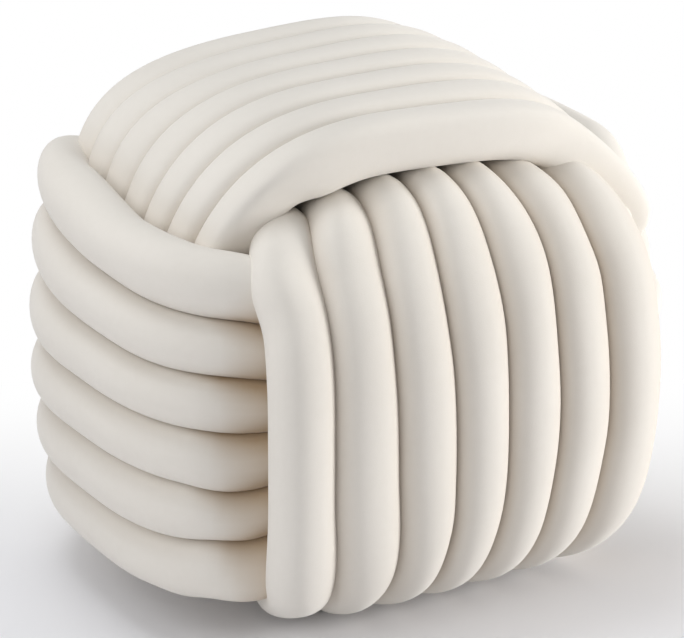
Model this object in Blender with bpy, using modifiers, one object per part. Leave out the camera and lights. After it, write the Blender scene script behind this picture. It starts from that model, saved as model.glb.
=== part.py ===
# Knot pouf: one long stuffed fabric tube wound in three bands of turns that lock over one another, as in a
# monkey's fist knot. Each band shows on two opposite faces and runs hidden beneath the next band on two more.
# It is one filled solid: the three bands and the packed middle are joined into a single closed body.
# Metres, +Z up, origin at the middle of the underside. The front faces -Y.

import math

import bmesh
import bpy

# Driving sizes
TUBE_RADIUS = 0.0218
LAYER_STEP = 0.0355          # how much deeper a turn lies where it runs beneath the next band
HIDDEN_SINK = 0.0160         # how much deeper still it lies in the middle of that hidden run
HIDDEN_SINK_BELOW = 0.0270   # the same on the underside, where the covering turns are pressed up
HIDDEN_FROM = 65.0           # degrees from the middle of a face at which a turn is covered
HIDDEN_FULLY = 77.0
REACH = {"x": 0.2032, "y": 0.1853, "z": 0.1884}    # from the centre to the middle turn's centre line
SHOULDER = 3.26              # superellipse exponent of a turn: 2 is an ellipse, higher is squarer
PINCH_POWER = 5.8            # how late along a face its turns close up: 1 is evenly, higher is nearer the end
BOTTOM_REACH = 0.1512        # from the centre to the centre line of the lowest turns, pressed by their own weight
BOTTOM_SPACING = 0.90        # spacing of those turns, as a share of the same turns' spacing on top
FLOOR_CUT = 0.0060           # how much of their rounding lies flat on the floor
CORE_MARGIN = 0.0050
CORE_ROUNDING = 0.0600

# Each band: its turns, the axis that they are stacked along, the axis of the two faces that they show on, the axis
# of the two that hide them, and the distance between neighbours, with the share by which that narrows at a face's
# end. crown is how far the outermost turns lie below the middle one on a shown face, tuck the same on a hidden one,
# and lift is how far up the whole band sits.
BANDS = (
    {"name": "top_band", "turns": 7, "stack": "y", "shown": "z", "hidden": "x",
     "spacing": 0.0357, "pinch": 0.26, "crown": 0.0038, "tuck": 0.0091, "lift": 0.0},
    {"name": "front_band", "turns": 7, "stack": "x", "shown": "y", "hidden": "z",
     "spacing": 0.0442, "pinch": 0.26, "crown": 0.0076, "tuck": 0.0143, "lift": 0.0},
    {"name": "side_band", "turns": 6, "stack": "z", "shown": "x", "hidden": "y",
     "spacing": 0.0452, "pinch": 0.29, "crown": 0.0086, "tuck": 0.0046, "lift": 0.0041},
)
STATIONS = 40                # sections around a band
STEPS_PER_TURN = 5           # points across one turn of a section
KEPT_TRIANGLES = 0.70        # share left after the joins, which leave many thin ones along the seams
AXES = {"x": 0, "y": 1, "z": 2}

FABRIC_COLOUR = (0.80, 0.765, 0.70, 1.0)
FABRIC_ROUGHNESS = 0.85


def clear_scene():
    for thing in list(bpy.data.objects):
        bpy.data.objects.remove(thing, do_unlink=True)


def new_collection(name, helpers=False):
    collection = bpy.data.collections.new(name)
    bpy.context.scene.collection.children.link(collection)
    collection.hide_render = helpers
    return collection


def move_to(thing, collection):
    for old in list(thing.users_collection):
        old.objects.unlink(thing)
    collection.objects.link(thing)


def fabric_material():
    material = bpy.data.materials.new("cream_fabric")
    material.use_nodes = True
    shader = material.node_tree.nodes["Principled BSDF"]
    shader.inputs["Base Color"].default_value = FABRIC_COLOUR
    shader.inputs["Roughness"].default_value = FABRIC_ROUGHNESS
    shader.inputs["Metallic"].default_value = 0.0
    material.diffuse_color = FABRIC_COLOUR
    return material


def smooth_step(value, low, high):
    t = min(max((value - low) / (high - low), 0.0), 1.0)
    return t * t * (3 - 2 * t)


def signed_power(value, exponent):
    return math.copysign(abs(value) ** exponent, value)


def loop_point(band, place, angle):
    # A point of a turn's centre line, as (shown, hidden, stack) distances from the centre. place counts turns
    # from the band's middle, and angle runs round the loop from the middle of a shown face.
    outwards = (place / ((band["turns"] - 1) / 2)) ** 2
    outer = REACH[band["shown"]] - band["crown"] * outwards
    spacing = band["spacing"]
    if band["shown"] == "z" and math.cos(angle) < 0:
        outer = BOTTOM_REACH
        spacing *= 1 - (1 - BOTTOM_SPACING) * smooth_step(-math.cos(angle), 0.0, 0.5)
    inner = REACH[band["hidden"]] - LAYER_STEP
    below = band["hidden"] == "z" and math.sin(angle) < 0
    if not below:
        inner -= band["tuck"] * outwards
    along_hidden = signed_power(math.sin(angle), 2 / SHOULDER)
    narrowing = 1 - band["pinch"] * abs(along_hidden) ** PINCH_POWER
    from_shown = math.degrees(math.asin(min(abs(math.sin(angle)), 1.0)))
    sink = HIDDEN_SINK_BELOW if below else HIDDEN_SINK
    sink *= smooth_step(from_shown, HIDDEN_FROM, HIDDEN_FULLY)
    shown = outer * signed_power(math.cos(angle), 2 / SHOULDER)
    return shown, (inner - sink) * along_hidden, place * spacing * narrowing + band["lift"]


def outward(band, place, angle):
    # The direction away from the middle of the loop, square to the centre line and to the stack
    nearby = math.radians(0.5)
    before = loop_point(band, place, angle - nearby)
    after = loop_point(band, place, angle + nearby)
    run_shown = after[0] - before[0]
    run_hidden = after[1] - before[1]
    length = math.hypot(run_shown, run_hidden)
    return run_hidden / length, -run_shown / length


def section_places(band):
    # (turn, angle about its centre line) of each point across a band: the outer side, then the two lower corners
    half = (band["turns"] - 1) / 2
    across = 180 / STEPS_PER_TURN
    places = []
    for turn in range(band["turns"]):
        for step in range(STEPS_PER_TURN):
            places.append((turn - half, -90 + step * across))
    places += [(half, 90), (half, 135), (half, 180), (-half, 180), (-half, 225)]
    return places


def section_point(band, turn, around, angle):
    shown, hidden, stack = loop_point(band, turn, angle)
    wider = loop_point(band, turn + 0.5, angle)[2] - loop_point(band, turn - 0.5, angle)[2]
    out_shown, out_hidden = outward(band, turn, angle)
    lift = TUBE_RADIUS * math.cos(math.radians(around))
    side = wider / 2 * math.sin(math.radians(around))
    point = [0.0, 0.0, 0.0]
    point[AXES[band["shown"]]] = shown + lift * out_shown
    point[AXES[band["hidden"]]] = hidden + lift * out_hidden
    point[AXES[band["stack"]]] = stack + side
    return point


def band_object(band, material, collection):
    # A torus primitive whose rings are reshaped into the band's sections
    places = section_places(band)
    bpy.ops.mesh.primitive_torus_add(major_segments=STATIONS, minor_segments=len(places))
    thing = bpy.context.object
    thing.name = band["name"]
    for station in range(STATIONS):
        angle = 2 * math.pi * (station + 0.5) / STATIONS
        for index, (turn, around) in enumerate(places):
            vertex = thing.data.vertices[station * len(places) + index]
            vertex.co = section_point(band, turn, around, angle)
    mesh = bmesh.new()
    mesh.from_mesh(thing.data)
    bmesh.ops.triangulate(mesh, faces=mesh.faces)
    bmesh.ops.recalc_face_normals(mesh, faces=mesh.faces)
    mesh.to_mesh(thing.data)
    mesh.free()
    thing.data.shade_smooth()
    thing.data.materials.append(material)
    move_to(thing, collection)
    return thing


def box_object(name, size, location, collection):
    bpy.ops.mesh.primitive_cube_add(size=1, location=location)
    thing = bpy.context.object
    thing.name = name
    thing.scale = size
    bpy.ops.object.transform_apply(location=False, rotation=False, scale=True)
    move_to(thing, collection)
    return thing


def packed_middle(material, collection):
    # The buried runs and their filling, as one rounded block that closes the middle and the eight corner gaps
    width, depth, top = [REACH[axis] - LAYER_STEP - CORE_MARGIN for axis in "xyz"]
    bottom = BOTTOM_REACH - CORE_MARGIN
    size = (2 * width, 2 * depth, top + bottom)
    core = box_object("knot_pouf", size, (0, 0, (top - bottom) / 2), collection)
    core.data.materials.append(material)
    bevel = core.modifiers.new("round", "BEVEL")
    bevel.width = CORE_ROUNDING
    bevel.segments = 4
    core.modifiers.new("triangles", "TRIANGULATE")
    return core


def join_band(core, band):
    join = core.modifiers.new("join_" + band.name, "BOOLEAN")
    join.operation = "UNION"
    join.solver = "EXACT"
    join.object = band


def flatten_underside(core, collection):
    floor_level = FLOOR_CUT - BOTTOM_REACH - TUBE_RADIUS
    block_size = 0.6
    block = box_object("floor_cutter", [block_size] * 3, (0, 0, floor_level - block_size / 2), collection)
    cut = core.modifiers.new("flat_underside", "BOOLEAN")
    cut.operation = "DIFFERENCE"
    cut.solver = "EXACT"
    cut.object = block
    return floor_level


def thin_out(core):
    fewer = core.modifiers.new("fewer_triangles", "DECIMATE")
    fewer.decimate_type = "COLLAPSE"
    fewer.ratio = KEPT_TRIANGLES
    fewer.use_collapse_triangulate = True


def main():
    clear_scene()
    parts = new_collection("Knot pouf")
    helpers = new_collection("Helpers", helpers=True)
    material = fabric_material()
    core = packed_middle(material, parts)
    bands = [band_object(band, material, helpers) for band in BANDS]
    for band in bands:
        join_band(core, band)
    thin_out(core)
    floor_level = flatten_underside(core, helpers)
    for thing in list(helpers.objects):
        thing.hide_render = True
        thing.display_type = "WIRE"
    for thing in list(parts.objects) + list(helpers.objects):
        thing.location.z -= floor_level


main()
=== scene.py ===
# Knot pouf: the look of its wound fabric tube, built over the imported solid. The tube is wound in three bands
# of turns. Each band shows on two opposite faces, and dives beneath the next band at their ends.

import math

import bmesh
import bpy
import numpy as np
from mathutils import Matrix, Vector
from mathutils.bvhtree import BVHTree


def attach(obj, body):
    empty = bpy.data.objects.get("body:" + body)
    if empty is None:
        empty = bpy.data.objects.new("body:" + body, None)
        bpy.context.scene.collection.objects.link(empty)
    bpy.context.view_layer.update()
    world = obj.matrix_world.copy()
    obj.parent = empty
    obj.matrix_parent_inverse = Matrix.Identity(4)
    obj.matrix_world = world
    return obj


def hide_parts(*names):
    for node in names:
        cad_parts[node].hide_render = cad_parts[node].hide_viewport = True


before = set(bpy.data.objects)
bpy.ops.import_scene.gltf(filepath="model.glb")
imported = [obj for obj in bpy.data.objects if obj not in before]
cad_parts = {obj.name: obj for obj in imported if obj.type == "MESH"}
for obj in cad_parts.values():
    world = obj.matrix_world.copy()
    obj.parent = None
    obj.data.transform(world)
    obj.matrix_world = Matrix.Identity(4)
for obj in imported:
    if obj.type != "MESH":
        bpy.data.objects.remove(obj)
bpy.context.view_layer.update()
print("frame loaded")

axes = {"x": 0, "y": 1, "z": 2}

# What the whole knot shares, in metres
knot = {
    "tubeRadius": 0.0218,
    "reach": {"x": 0.2032, "y": 0.1853, "z": 0.1884},    # from the centre to the middle turn's centre line
    "centreHeight": 0.167,     # the knot's centre above the floor
    "shoulder": 3.26,          # superellipse exponent of a turn: 2 is an ellipse, higher is squarer
    "pinchPower": 5.8,         # how late along a face its turns close up
    "layerStep": 0.0355,       # how much deeper a turn lies where it runs beneath the next band
    "hiddenSink": 0.0160,      # how much deeper still in the middle of that hidden run
    "lowerSink": 0.0270,       # the same on the underside, where the covering turns are pressed up
    "hiddenFrom": 65.0,        # degrees from the middle of a face at which a turn is covered
    "hiddenFully": 77.0,
    "bottomReach": 0.1512,     # from the centre to the lowest turns, pressed by the pouf's own weight
    "bottomSpacing": 0.90,     # spacing of those turns, as a share of the same turns' spacing on top
    "bottomEasing": 0.5,       # how far down a turn has come where its spacing has narrowed to that
    "floorSoftness": 0.003,    # how gently the lowest turns flatten on to the floor
    "freePress": 1.03,         # how wide a turn is on a side with no neighbour, where 1 is half the spacing
    "endSpread": 0.08,         # how much wider the turns press into their neighbours where they dive
    "endSharpness": 6.0,       # how late they widen so
    "stations": 112,           # sections around a turn, before the last smoothing
    "sides": 20,               # points around a section
}


def smoothStep(value, low, high):
    t = min(max((value - low) / (high - low), 0.0), 1.0)
    return t * t * (3 - 2 * t)


def signedPower(value, exponent):
    return math.copysign(abs(value) ** exponent, value)


def centreLine(band, place, angle):
    # (shown, hidden, stack) distances from the knot's centre of a turn's centre line
    outwards = (place / ((band["turns"] - 1) / 2)) ** 2
    outer = knot["reach"][band["shown"]] - band["crown"] * outwards
    spacing = band["spacing"]
    if band["shown"] == "z" and math.cos(angle) < 0:
        outer = knot["bottomReach"]
        spacing *= 1 - (1 - knot["bottomSpacing"]) * smoothStep(-math.cos(angle), 0.0, knot["bottomEasing"])
    inner = knot["reach"][band["hidden"]] - knot["layerStep"]
    below = band["hidden"] == "z" and math.sin(angle) < 0
    if not below:
        inner -= band["tuck"] * outwards
    alongHidden = signedPower(math.sin(angle), 2 / knot["shoulder"])
    narrowing = 1 - band["pinch"] * abs(alongHidden) ** knot["pinchPower"]
    fromShown = math.degrees(math.asin(min(abs(math.sin(angle)), 1.0)))
    sink = knot["lowerSink"] if below else knot["hiddenSink"]
    sink *= smoothStep(fromShown, knot["hiddenFrom"], knot["hiddenFully"])
    shown = outer * signedPower(math.cos(angle), 2 / knot["shoulder"])
    return shown, (inner - sink) * alongHidden, place * spacing * narrowing + band["lift"]


def outward(band, place, angle):
    # The direction away from the middle of the turn, square to its centre line and to the stack
    nearby = math.radians(0.5)
    before = centreLine(band, place, angle - nearby)
    after = centreLine(band, place, angle + nearby)
    runShown = after[0] - before[0]
    runHidden = after[1] - before[1]
    length = math.hypot(runShown, runHidden)
    return runHidden / length, -runShown / length


def turnPoint(band, place, angle, around):
    # A point of the tube's skin: place counts turns from the band's middle, angle runs round the turn from
    # the middle of a shown face, and around runs round the tube from its outer side
    shown, hidden, stack = centreLine(band, place, angle)
    wider = centreLine(band, place + 0.5, angle)[2] - centreLine(band, place - 0.5, angle)[2]
    outShown, outHidden = outward(band, place, angle)
    rounding = 2 / band["squareness"]
    lift = knot["tubeRadius"] * signedPower(math.cos(around), rounding)
    neighbour = place + math.copysign(1.0, math.sin(around))
    pressed = abs(neighbour) <= (band["turns"] - 1) / 2
    spread = band["press"] if pressed else knot["freePress"]
    spread += knot["endSpread"] * abs(math.sin(angle)) ** knot["endSharpness"]
    side = wider / 2 * spread * signedPower(math.sin(around), rounding)
    point = [0.0, 0.0, 0.0]
    point[axes[band["shown"]]] = shown + lift * outShown
    point[axes[band["hidden"]]] = hidden + lift * outHidden
    point[axes[band["stack"]]] = stack + side
    return Vector(point)


# Where the soft knot has shifted away from an even one. The points of a band within reach of a place move as
# it does, less and less towards the edge of that reach. Places are from the knot's centre, in metres, and
# stretch lengthens the reach along x, y and z. The left face is at -x and the front at -y.
settling = [
    {"what": "far end of the highest level turn rides up", "bands": ("sideTurns",),
     "at": (-0.185, 0.135, 0.125), "within": 0.150, "move": (0.003, 0.0, 0.020)},
    {"what": "and is thinner there", "bands": ("sideTurns",),
     "at": (-0.155, 0.085, 0.155), "within": 0.055, "move": (-0.007, 0.0, -0.001)},
    {"what": "far left of the top stands fuller", "bands": ("topTurns",),
     "at": (-0.160, 0.100, 0.175), "within": 0.110, "move": (-0.009, 0.001, 0.001)},
    {"what": "middle of the highest level turn is raised", "bands": ("sideTurns",),
     "at": (-0.171, 0.018, 0.131), "within": 0.060, "move": (0.0, 0.0, 0.0075)},
    {"what": "near end of the highest level turn fills the corner", "bands": ("sideTurns",),
     "at": (-0.138, -0.135, 0.125), "within": 0.055, "move": (0.0, 0.0, 0.007)},
    {"what": "first upright turn fills the corner", "bands": ("frontTurns",),
     "at": (-0.145, -0.130, 0.128), "within": 0.060, "move": (-0.0132, -0.004, -0.001)},
    {"what": "tops of the upright turns lean right", "bands": ("frontTurns",),
     "at": (-0.050, -0.130, 0.152), "within": 0.110, "move": (0.0045, 0.0, 0.0)},
    {"what": "and further out at the right corner", "bands": ("frontTurns",),
     "at": (0.145, -0.125, 0.150), "within": 0.080, "move": (0.006, 0.0, 0.004)},
    {"what": "middle seams bow back", "bands": ("frontTurns",),
     "at": (-0.020, -0.185, 0.115), "within": 0.070, "move": (-0.0028, 0.0, 0.0)},
    {"what": "first seam bows back", "bands": ("frontTurns",),
     "at": (-0.098, -0.150, 0.126), "within": 0.062, "move": (-0.0034, 0.0, 0.0)},
    {"what": "last seam bows back", "bands": ("frontTurns",),
     "at": (0.112, -0.195, 0.060), "within": 0.090, "move": (-0.0082, 0.0, 0.0)},
    {"what": "inner seams lean out lower down", "bands": ("frontTurns",),
     "at": (-0.035, -0.200, -0.015), "within": 0.090, "move": (0.0035, 0.0, 0.0)},
    {"what": "right end of the nearest top turn laps over the corner", "bands": ("topTurns",),
     "at": (0.172, -0.120, 0.118), "within": 0.085, "move": (0.036, -0.014, -0.027)},
    {"what": "level turns of the right face sit lower under it", "bands": ("sideTurns",),
     "at": (0.185, -0.120, 0.120), "within": 0.100, "move": (-0.013, 0.004, -0.018)},
    {"what": "nearest top turn sags on to the upright ones", "bands": ("topTurns",),
     "at": (0.050, -0.125, 0.175), "within": 0.100, "move": (0.0, -0.003, -0.004)},
    {"what": "its lower edge is drawn up", "bands": ("topTurns",),
     "stretch": (5.2, 1.0, 1.0),
     "at": (0.020, -0.128, 0.158), "within": 0.028, "move": (0.0, 0.001, 0.0055)},
    {"what": "and more so near its left end", "bands": ("topTurns",),
     "at": (-0.111, -0.120, 0.150), "within": 0.036, "move": (0.0, 0.001, 0.0095)},
    {"what": "upright turns stand higher under it", "bands": ("frontTurns",),
     "stretch": (2.6, 1.0, 1.0),
     "at": (0.0, -0.150, 0.150), "within": 0.050, "move": (0.0, 0.0, 0.0035)},
    {"what": "and the gap beside the first is filled", "bands": ("frontTurns",),
     "at": (-0.088, -0.146, 0.140), "within": 0.038, "move": (0.0, 0.0, 0.006)},
    {"what": "first upright turn stands further left", "bands": ("frontTurns",),
     "stretch": (1.0, 1.0, 1.8),
     "at": (-0.140, -0.185, -0.030), "within": 0.090, "move": (-0.0030, 0.0, 0.0)},
    {"what": "last seam stands further left at the top", "bands": ("frontTurns",),
     "at": (0.118, -0.165, 0.125), "within": 0.045, "move": (-0.0045, 0.0, 0.0)},
    {"what": "and lower down", "bands": ("frontTurns",),
     "at": (0.118, -0.195, -0.045), "within": 0.085, "move": (-0.0045, 0.0, 0.0)},
    {"what": "third seam stands left at the foot", "bands": ("frontTurns",),
     "at": (-0.010, -0.200, -0.115), "within": 0.055, "move": (-0.0035, 0.0, 0.0)},
    {"what": "fourth level turn sits higher", "bands": ("sideTurns",),
     "at": (-0.200, -0.080, -0.025), "within": 0.070, "move": (0.0, 0.0, 0.0018)},
    {"what": "far right of the top stands fuller", "bands": ("topTurns",),
     "at": (0.110, 0.070, 0.190), "within": 0.110, "move": (0.004, 0.003, 0.002)},
    {"what": "far left of the top is lower", "bands": ("topTurns",),
     "at": (-0.080, 0.090, 0.205), "within": 0.120, "move": (0.0, -0.001, -0.0025)},
    {"what": "foot of the first upright turn is blunter", "bands": ("frontTurns",),
     "at": (-0.135, -0.140, -0.175), "within": 0.070, "move": (0.001, 0.0, 0.009)},
    {"what": "and flares to the left", "bands": ("frontTurns",),
     "at": (-0.140, -0.110, -0.145), "within": 0.045, "move": (-0.006, 0.0, 0.0)},
    {"what": "near end of the lowest level turn droops to meet it", "bands": ("sideTurns",),
     "at": (-0.145, -0.148, -0.118), "within": 0.052, "move": (0.0, -0.003, -0.016)},
    {"what": "and the turn above it a little", "bands": ("sideTurns",),
     "at": (-0.155, -0.148, -0.072), "within": 0.040, "move": (0.0, 0.0, -0.004)},
    {"what": "lowest turns draw in at that corner", "bands": ("topTurns",),
     "at": (-0.130, -0.100, -0.140), "within": 0.070, "move": (0.008, 0.010, 0.004)},
    {"what": "lowest level turn closes the near right corner", "bands": ("sideTurns",),
     "at": (0.145, -0.140, -0.120), "within": 0.055, "move": (0.0, -0.004, -0.014)},
    {"what": "and the lowest turns rise to meet it", "bands": ("topTurns",),
     "at": (0.135, -0.105, -0.140), "within": 0.060, "move": (0.003, -0.008, 0.004)},
    {"what": "second seam leans right at the foot", "bands": ("frontTurns",),
     "at": (-0.066, -0.200, -0.120), "within": 0.100, "move": (0.009, 0.0, 0.0)},
    {"what": "last seams lean left at the foot", "bands": ("frontTurns",),
     "at": (0.095, -0.185, -0.100), "within": 0.090, "move": (-0.0055, 0.0, 0.0)},
    {"what": "highest level turn is the thickest", "bands": ("sideTurns",),
     "at": (-0.186, -0.090, 0.088), "within": 0.070, "move": (0.0, 0.0, -0.0045)},
    {"what": "middle of the level turns sits higher", "bands": ("sideTurns",),
     "at": (-0.205, -0.030, -0.030), "within": 0.090, "move": (0.0, 0.0, 0.0025)},
    {"what": "lower level turns sit a little higher", "bands": ("sideTurns",),
     "at": (-0.195, -0.080, -0.085), "within": 0.070, "move": (0.0, 0.0, 0.0015)},
    {"what": "fourth level seam sags at its near end", "bands": ("sideTurns",),
     "at": (-0.163, -0.142, -0.032), "within": 0.050, "move": (0.0, 0.0, -0.0055)},
    {"what": "lowest level turn sags", "bands": ("sideTurns",),
     "at": (-0.188, -0.118, -0.128), "within": 0.045, "move": (0.0, 0.0, -0.0045)},
    {"what": "right corner stands out", "bands": ("frontTurns", "sideTurns"),
     "at": (0.170, -0.150, 0.025), "within": 0.170, "move": (0.007, -0.001, 0.0)},
    {"what": "level turns dive deeper beside the first upright one", "bands": ("sideTurns",),
     "stretch": (1.0, 1.0, 2.6),
     "at": (-0.156, -0.156, -0.030), "within": 0.054, "move": (0.004, 0.010, -0.004)},
]


def settled(point, name):
    # Where a point of the even knot lies in the settled one, for the band of that name
    moved = point.copy()
    for shift in settling:
        stretch = shift.get("stretch", (1.0, 1.0, 1.0))
        apart = Vector([(point[i] - shift["at"][i]) / stretch[i] for i in range(3)])
        away = apart.length / shift["within"]
        if name in shift["bands"] and away < 1:
            moved += Vector(shift["move"]) * (1 - away * away) ** 2
    return moved


def pressedFlat(point):
    # Eases a point that would sink into the floor up to it
    softness = knot["floorSoftness"]
    z = point.z
    point.z = (z + math.sqrt(z * z + softness * softness)) / 2
    return point


def addTurn(mesh, name, band, place):
    # One turn of the tube as a closed ring of sections
    rings = []
    for station in range(knot["stations"]):
        angle = 2 * math.pi * station / knot["stations"]
        ring = []
        for step in range(knot["sides"]):
            around = 2 * math.pi * step / knot["sides"]
            point = settled(turnPoint(band, place, angle, around), name)
            point.z += knot["centreHeight"]
            ring.append(mesh.verts.new(pressedFlat(point)))
        rings.append(ring)
    for station, ring in enumerate(rings):
        following = rings[(station + 1) % len(rings)]
        for step in range(knot["sides"]):
            beside = (step + 1) % knot["sides"]
            mesh.faces.new((ring[step], ring[beside], following[beside], following[step]))


darkestPaintedShade = 0.85    # the most that the painted crease shade may darken the fabric's colour


def shutIn(tree, point, height):
    # 0 where there is free room around a point above the skin, and 1 where another turn fills it
    spot, facing, index, gap = tree.find_nearest(point)
    if (point - spot).dot(facing) < 0:
        return 1.0
    return 1 - min(gap / height, 1.0)


def skinTree(piece):
    points = [tuple(vertex.co) for vertex in piece.data.vertices]
    return BVHTree.FromPolygons(points, [list(face.vertices) for face in piece.data.polygons])


def paintedShadeAt(creases, trees, vertex):
    # How much shade is painted into the colour at a point, as the sum of its band's creases. A crease counts
    # where each band in its reaches shuts the point in, within that height above the skin. lean tilts the way
    # up to the side that shades it.
    total = 0.0
    for crease in creases:
        upwards = vertex.normal + Vector(crease["lean"])
        share = crease["weight"]
        for turns, height in crease["reaches"]:
            share *= shutIn(trees[turns], vertex.co + upwards * height, height)
        total += share
    return min(total, darkestPaintedShade)


def paintCreaseShade(turned):
    # Stores on every point how much shade to paint into its colour, by how far it lies in a crease, between
    # neighbours or beside a crossing band
    trees = {piece.name: skinTree(piece) for piece, band in turned}
    for piece, band in turned:
        marks = [paintedShadeAt(band["creases"], trees, vertex) for vertex in piece.data.vertices]
        piece.data.attributes.new("paintedShade", "FLOAT", "POINT").data.foreach_set("value", marks)
    print("creases marked")


# The fibre filling that rounds the tube out
stuffing = {
    "pressure": 4.0,
    "frames": 8,
    "quality": 4,
    "stiffness": 40.0,
    "bending": 4.0,
    "furthest": 0.0030,        # how far it may push the fabric, in metres
}


def skinPoints(data):
    # A mesh's points as rows of x, y and z
    flat = np.empty(len(data.vertices) * 3, dtype=np.float32)
    data.vertices.foreach_get("co", flat)
    return flat.reshape(-1, 3).astype(float)


def stuff(piece):
    # Lets the filling swell the tube, then keeps the result as the piece's own shape
    scene = bpy.context.scene
    before = skinPoints(piece.data)
    fabricSkin = piece.modifiers.new("stuffing", "CLOTH")
    settings = fabricSkin.settings
    settings.quality = stuffing["quality"]
    settings.tension_stiffness = settings.compression_stiffness = stuffing["stiffness"]
    settings.bending_stiffness = stuffing["bending"]
    settings.use_pressure = True
    settings.uniform_pressure_force = stuffing["pressure"]
    settings.effector_weights.gravity = 0.0
    fabricSkin.collision_settings.use_collision = False
    for moment in range(1, stuffing["frames"] + 1):
        scene.frame_set(moment)
    swollen = skinPoints(piece.evaluated_get(bpy.context.evaluated_depsgraph_get()).data)
    moved = swollen - before
    lengths = np.linalg.norm(moved, axis=1, keepdims=True)
    usual, most = np.quantile(lengths, (0.5, 1.0)) * 1000
    print(piece.name, "pushed out by", round(usual, 2), "mm, at most", round(most, 2), "mm")
    moved *= stuffing["furthest"] / np.maximum(lengths, stuffing["furthest"])
    piece.modifiers.remove(fabricSkin)
    scene.frame_set(1)
    result = before + moved
    result[:, 2] = np.maximum(result[:, 2], before[:, 2].min())    # no lower than it stood
    piece.data.vertices.foreach_set("co", result.ravel())
    piece.data.update()


def wound(name, band, finish):
    # All the turns of a band, as one padded piece
    mesh = bmesh.new()
    for turn in range(band["turns"]):
        addTurn(mesh, name, band, turn - (band["turns"] - 1) / 2)
    bmesh.ops.recalc_face_normals(mesh, faces=mesh.faces)
    data = bpy.data.meshes.new(name)
    mesh.to_mesh(data)
    mesh.free()
    data.shade_smooth()
    data.materials.append(finish)
    piece = bpy.data.objects.new(name, data)
    bpy.context.scene.collection.objects.link(piece)
    stuff(piece)
    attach(piece, "root")
    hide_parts("knot_pouf")
    print(name, "wound")
    return piece, band


class Value:
    # An output socket of a finish, so that shader maths reads as plain expressions
    def __init__(self, finish, socket):
        self.finish = finish
        self.socket = socket

    def combine(self, operation, first, second):
        return self.finish.node("ShaderNodeMath", {"operation": operation}, {0: first, 1: second})

    def __add__(self, other):
        return self.combine("ADD", self, other)

    def __sub__(self, other):
        return self.combine("SUBTRACT", self, other)

    def __rsub__(self, other):
        return self.combine("SUBTRACT", other, self)

    def __mul__(self, other):
        return self.combine("MULTIPLY", self, other)

    __radd__ = __add__
    __rmul__ = __mul__


class Finish:
    # A material and its nodes
    def __init__(self, name):
        self.material = bpy.data.materials.new(name)
        self.material.use_nodes = True
        self.tree = self.material.node_tree
        self.shader = self.tree.nodes["Principled BSDF"]
        self.place = self.node("ShaderNodeTexCoord", {}, {}, "Object")

    def feed(self, socket, value):
        if isinstance(value, Value):
            self.tree.links.new(value.socket, socket)
        else:
            socket.default_value = value

    def node(self, kind, settings, sockets, output=0):
        made = self.tree.nodes.new(kind)
        for name, value in settings.items():
            setattr(made, name, value)
        for name, value in sockets.items():
            self.feed(made.inputs[name], value)
        return Value(self, made.outputs[output])

    def noise(self, scale, detail=3.0, roughness=0.5):
        sockets = {"Vector": self.place, "Scale": scale, "Detail": detail, "Roughness": roughness}
        return self.node("ShaderNodeTexNoise", {}, sockets)

    def blend(self, share, first, second):
        # A Mix node's colours are its sockets 6 and 7, and their blend its output 2
        return self.node("ShaderNodeMix", {"data_type": "RGBA"}, {0: share, 6: first, 7: second}, 2)


fabric = {
    "light": (0.80, 0.765, 0.715, 1.0),     # the mottled colour runs from deep to light
    "deep": (0.72, 0.68, 0.62, 1.0),
    "paintedShade": (0.36, 0.235, 0.115, 1.0),      # painted shade, blended in where turns shade each other
    "roughness": 0.88,
    "napShine": 0.06,          # how much less rough the nap is where it stands up
    "gloss": 0.25,
    "sheen": 0.25,
    "sheenRoughness": 0.45,
    "cloudScale": 9.0,         # scales are per metre
    "cloudShare": 0.60,        # the shares of clouds, nap and grain in the mottled colour
    "napScale": 160.0,
    "napShare": 0.25,
    "grainScale": 1400.0,
    "grainShare": 0.15,
    "grainHeight": 0.00012,
    "unevenScale": 26.0,
    "unevenHeight": 5.0,       # the filling's unevenness, as so many times the grain's height
    "bumpStrength": 0.6,
}


def velvetyFabric():
    finish = Finish("velvetyFabric")
    shader = finish.shader.inputs
    clouds = finish.noise(fabric["cloudScale"])
    nap = finish.noise(fabric["napScale"])
    grain = finish.noise(fabric["grainScale"], detail=2.0, roughness=0.6)
    uneven = finish.noise(fabric["unevenScale"], detail=2.0)
    mottling = clouds * fabric["cloudShare"] + nap * fabric["napShare"] + grain * fabric["grainShare"]
    uncreased = finish.blend(mottling, fabric["deep"], fabric["light"])
    # Painted shade: the stored crease value darkens and warms the base colour where turns shade each other
    paintedShade = finish.node("ShaderNodeAttribute", {"attribute_name": "paintedShade"}, {}, "Fac")
    finish.feed(shader["Base Color"], finish.blend(paintedShade, uncreased, fabric["paintedShade"]))
    finish.feed(shader["Roughness"], fabric["roughness"] - fabric["napShine"] * nap)
    finish.feed(shader["Sheen Weight"], fabric["sheen"])
    finish.feed(shader["Sheen Roughness"], fabric["sheenRoughness"])
    finish.feed(shader["Specular IOR Level"], fabric["gloss"])
    height = grain + fabric["unevenHeight"] * uneven
    relief = {"Strength": fabric["bumpStrength"], "Distance": fabric["grainHeight"], "Height": height}
    finish.feed(shader["Normal"], finish.node("ShaderNodeBump", {}, relief))
    return finish.material


creamFabric = velvetyFabric()
print("finish made")
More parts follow.
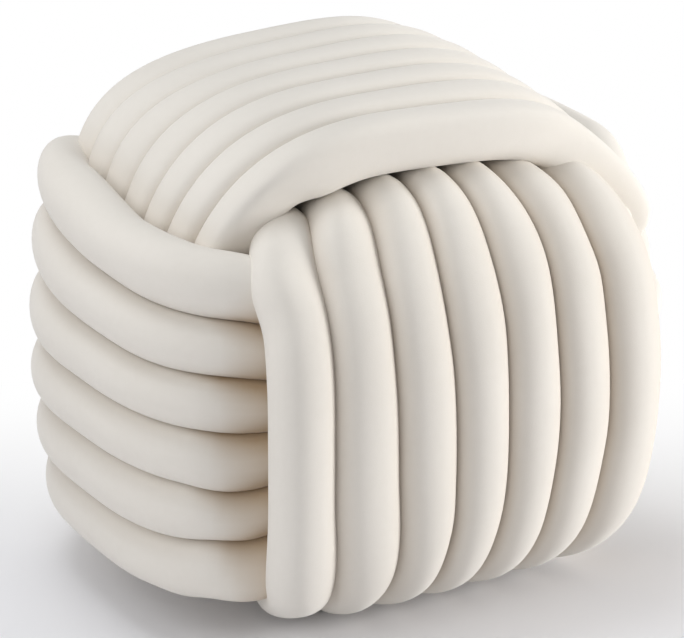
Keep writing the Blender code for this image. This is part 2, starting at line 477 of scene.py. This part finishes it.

# Each band: its turns, the axis that they are stacked along, the axis of the two faces that they show on, the
# axis of the two that hide them, and the distance between neighbours, with the share by which that narrows at
# a face's end. crown is how far the outermost turns lie below the middle one on a shown face, tuck the same
# on a hidden one, and lift is how far up the whole band sits. squareness is 2 for a round tube and higher for
# a flatter one. press is a turn's width beside a neighbour: 1 is the spacing, and more presses them together.
# creases set the shade painted into each band's colour: a weight, a lean towards the shading side, and the
# bands and heights that shut a point in
topTurns = {
    "turns": 7, "stack": "y", "shown": "z", "hidden": "x",
    "spacing": 0.0357, "pinch": 0.26, "crown": 0.0038, "tuck": 0.0091, "lift": 0.0,
    "squareness": 3.2, "press": 1.14, "fill": 0.9,
    "creases": [{"weight": 0.05, "lean": (0.0, 0.0, 0.0), "reaches": [("topTurns", 0.034)]},
                {"weight": 0.14, "lean": (0.0, 0.0, 0.0), "reaches": [("sideTurns", 0.030)]}],
}
frontTurns = {
    "turns": 7, "stack": "x", "shown": "y", "hidden": "z",
    "spacing": 0.0442, "pinch": 0.26, "crown": 0.0076, "tuck": 0.0143, "lift": 0.0,
    "squareness": 2.1, "press": 1.12, "fill": 0.9,
    "creases": [{"weight": 0.46, "lean": (-0.7, 0.0, 0.0), "reaches": [("frontTurns", 0.034)]}],
}
sideTurns = {
    "turns": 6, "stack": "z", "shown": "x", "hidden": "y",
    "spacing": 0.0452, "pinch": 0.29, "crown": 0.0086, "tuck": 0.0046, "lift": 0.0041,
    "squareness": 2.1, "press": 1.04, "fill": 0.9,
    "creases": [{"weight": 0.07, "lean": (0.0, 0.0, 0.9), "reaches": [("sideTurns", 0.011)]},
                {"weight": 1.10, "lean": (0.0, 0.0, 0.5),
                 "reaches": [("sideTurns", 0.038), ("frontTurns", 0.062)]},
                {"weight": 0.58, "lean": (0.0, 0.0, 0.5), "reaches": [("frontTurns", 0.036)]}],
}
allTurns = [
    wound("topTurns", topTurns, creamFabric),
    wound("frontTurns", frontTurns, creamFabric),
    wound("sideTurns", sideTurns, creamFabric),
]
paintCreaseShade(allTurns)
for piece, band in allTurns:
    finer = piece.modifiers.new("finer", "SUBSURF")
    finer.levels = finer.render_levels = 1


floorLook = {
    "size": 12.0,
    "colour": (0.84, 0.84, 0.865, 1.0),
    "cloudScale": 5.0,
    "cloudGain": 1.04,         # how much paler the clouded places are
    "away": (0.493, 0.870, 0.0),            # the way behind the pouf, along which the floor turns white
    "greyTo": -0.10,
    "whiteFrom": 0.30,
    "roughness": 0.6,
}


def paleFloor():
    # Pale grey near the pouf, running out into white behind it
    finish = Finish("paleFloor")
    shader = finish.shader.inputs
    clouds = finish.noise(floorLook["cloudScale"], detail=4.0)
    paler = tuple(min(part * floorLook["cloudGain"], 1.0) for part in floorLook["colour"])
    finish.feed(shader["Base Color"], finish.blend(clouds, floorLook["colour"], paler))
    finish.feed(shader["Roughness"], floorLook["roughness"])
    sockets = {0: finish.place, 1: floorLook["away"]}
    behind = finish.node("ShaderNodeVectorMath", {"operation": "DOT_PRODUCT"}, sockets, "Value")
    sockets = {"Value": behind, "From Min": floorLook["greyTo"], "From Max": floorLook["whiteFrom"]}
    whiteness = finish.node("ShaderNodeMapRange", {"interpolation_type": "SMOOTHSTEP"}, sockets)
    white = finish.node("ShaderNodeEmission", {}, {"Color": (1.0, 1.0, 1.0, 1.0), "Strength": 1.0})
    grey = Value(finish, finish.shader.outputs[0])
    mixed = finish.node("ShaderNodeMixShader", {}, {0: whiteness, 1: grey, 2: white})
    finish.feed(finish.tree.nodes["Material Output"].inputs["Surface"], mixed)
    bpy.ops.mesh.primitive_plane_add(size=floorLook["size"])
    floor = bpy.context.object
    floor.name = "floor"
    floor.data.materials.append(finish.material)


# Round area lights, all aimed at the pouf's middle
studio = {
    "middle": (0.0, 0.0, 0.18),
    "roomLight": 0.283,        # an even white light from all sides
    "lamps": [
        {"name": "keyLight", "place": (2.0, -1.17, 0.48), "size": 0.8, "power": 46.0,
         "colour": (1.0, 0.985, 0.96)},
        {"name": "topLight", "place": (-0.3, 0.5, 2.3), "size": 1.4, "power": 20.2,
         "colour": (0.965, 0.985, 1.0)},
        {"name": "sideLight", "place": (-1.8, -0.55, 1.4), "size": 2.2, "power": 22.0,
         "colour": (1.0, 1.0, 1.0)},
    ],
}


def addLamp(settings):
    data = bpy.data.lights.new(settings["name"], "AREA")
    data.shape = "DISK"
    data.size = settings["size"]
    data.energy = settings["power"]
    data.color = settings["colour"]
    lamp = bpy.data.objects.new(settings["name"], data)
    lamp.location = settings["place"]
    aim = Vector(studio["middle"]) - Vector(settings["place"])
    lamp.rotation_euler = aim.to_track_quat("-Z", "Y").to_euler()
    bpy.context.scene.collection.objects.link(lamp)


def lightStudio():
    world = bpy.data.worlds.new("studio")
    world.use_nodes = True
    background = world.node_tree.nodes["Background"].inputs
    background["Color"].default_value = (1.0, 1.0, 1.0, 1.0)
    background["Strength"].default_value = studio["roomLight"]
    bpy.context.scene.world = world
    bpy.context.scene.view_settings.view_transform = "Standard"
    for settings in studio["lamps"]:
        addLamp(settings)


view = {
    "azimuth": -29.533,        # degrees, and 0 looks along +y
    "elevation": 21.854,
    "roll": -0.334,
    "distance": 2.75,
    "lens": 195.1,             # millimetres
    "sensor": 36.0,            # its width, in millimetres
    "aimRight": -0.00078,      # where it aims, from the knot's centre
    "aimUp": 0.01013,
}


def addCamera():
    azimuth = math.radians(view["azimuth"])
    elevation = math.radians(view["elevation"])
    roll = math.radians(view["roll"])
    level = math.cos(elevation)
    back = Vector((math.sin(azimuth) * level, -math.cos(azimuth) * level, math.sin(elevation)))
    right = Vector((math.cos(azimuth), math.sin(azimuth), 0.0))
    up = back.cross(right)
    target = Vector((0, 0, knot["centreHeight"])) + right * view["aimRight"] + up * view["aimUp"]
    turnedRight = right * math.cos(roll) + up * math.sin(roll)
    turnedUp = up * math.cos(roll) - right * math.sin(roll)
    data = bpy.data.cameras.new("camera")
    data.lens = view["lens"]
    data.sensor_width = view["sensor"]
    thing = bpy.data.objects.new("camera", data)
    matrix = Matrix((turnedRight, turnedUp, back)).transposed().to_4x4()
    matrix.translation = target + back * view["distance"]
    thing.matrix_world = matrix
    bpy.context.scene.collection.objects.link(thing)
    bpy.context.scene.camera = thing


paleFloor()
lightStudio()
addCamera()
print("stage set")
